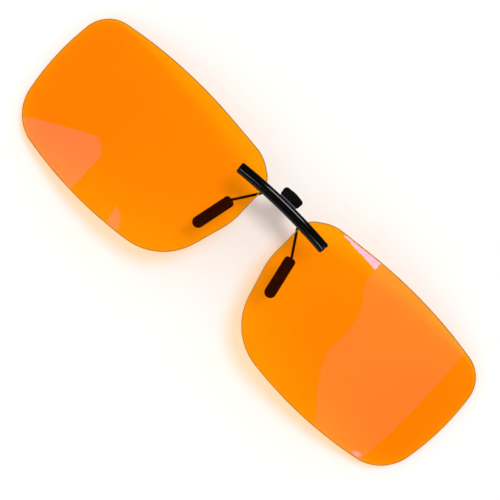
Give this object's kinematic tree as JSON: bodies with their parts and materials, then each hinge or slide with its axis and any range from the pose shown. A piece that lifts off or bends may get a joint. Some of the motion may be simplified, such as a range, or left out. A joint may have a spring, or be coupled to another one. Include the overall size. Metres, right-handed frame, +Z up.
{
  "type": "clip-on blue light glasses",
  "caption": "Rimless clip-on glasses with rounded amber lenses on a slim bridge bar, and a sprung pinch clip with a thumb lever and soft pads behind it.",
  "frame": {"origin": "middle of the closed jaw, midway between the lens backs and the pads, on the middle plane", "axes": "+X to the right as seen from the front, -Y towards the front, +Z up as worn"},
  "size_m": [0.136, 0.0113, 0.0418],
  "materials": {
    "black_gloss": "gloss black lacquer on metal",
    "amber_lens": "polished amber lens with a faint pink and violet anti-reflection coating",
    "steel": "plain steel, satin",
    "nylon": "translucent nylon, matte",
    "dark_metal": "black plated sheet metal, satin",
    "spring_steel": "bare spring steel wire",
    "wire_black": "black plated wire, satin",
    "black_matte": "matte black moulded grip",
    "silicone": "black silicone, matte"
  },
  "bodies": {
    "lens_carrier": {"bridge_bar": "black_gloss", "left_lens": "amber_lens", "right_lens": "amber_lens", "left_lens_studs": "steel", "right_lens_studs": "steel", "left_lens_bushes": "nylon", "right_lens_bushes": "nylon", "left_lens_washers": "steel", "right_lens_washers": "steel", "left_lens_nuts": "steel", "right_lens_nuts": "steel", "hinge_bracket": "dark_metal", "bracket_rivets": "steel", "hinge_washers": "nylon", "torsion_spring": "spring_steel"},
    "clip_lever": {"clip_wire": "wire_black", "thumb_lever": "dark_metal", "thumb_grip": "black_matte", "left_pad": "silicone", "right_pad": "silicone"}
  },
  "joints": [
    {"name": "clip_hinge", "type": "hinge", "parent": "lens_carrier", "child": "clip_lever", "pos_m": [0, 0.0009, 0.0135], "axis": [1, 0, 0], "range_deg": [0, 35], "stiffness_Nm_per_rad": 0.02, "springref_deg": -51.57, "deforming": ["torsion_spring"]}
  ]
}
